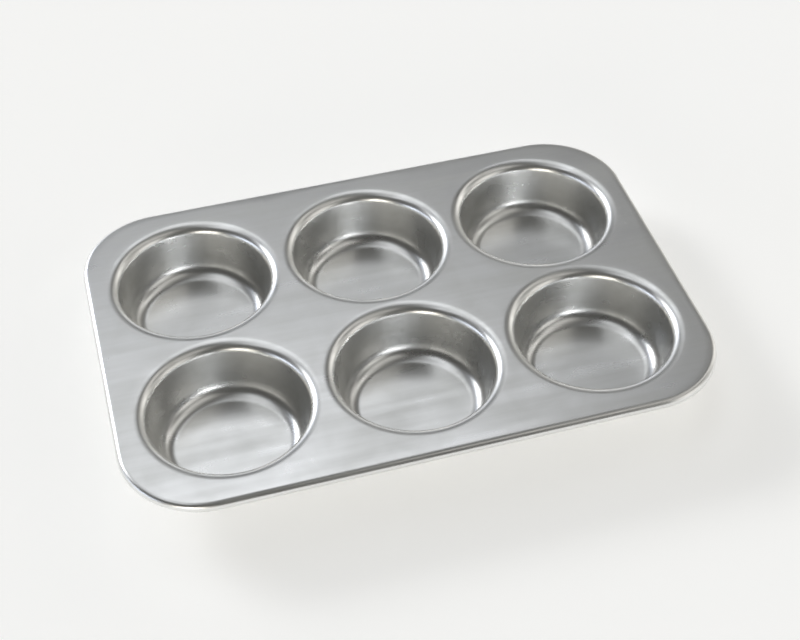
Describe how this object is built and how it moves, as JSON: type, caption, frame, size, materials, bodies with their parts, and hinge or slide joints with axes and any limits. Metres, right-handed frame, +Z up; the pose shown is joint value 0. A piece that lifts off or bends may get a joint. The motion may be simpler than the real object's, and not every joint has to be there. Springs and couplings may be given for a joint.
{
  "type": "muffin tin",
  "caption": "Shallow aluminium muffin tin: round flat-bottomed cups pressed into one sheet, with a plain flat deck and an edge rolled round a wire.",
  "frame": {"origin": "on the surface that the cups stand on, under the middle of the tin", "axes": "+X along the long side, +Y along the short side towards the back row of cups, +Z up out of the cups"},
  "size_m": [0.273, 0.189, 0.027],
  "materials": {
    "pressed_aluminium": "bare satin rolled aluminium sheet with a faint grain along the long side",
    "rim_wire_steel": "dull drawn wire"
  },
  "bodies": {
    "root": {"pressed_pan": "pressed_aluminium", "rim_wire": "rim_wire_steel"}
  },
  "joints": []
}
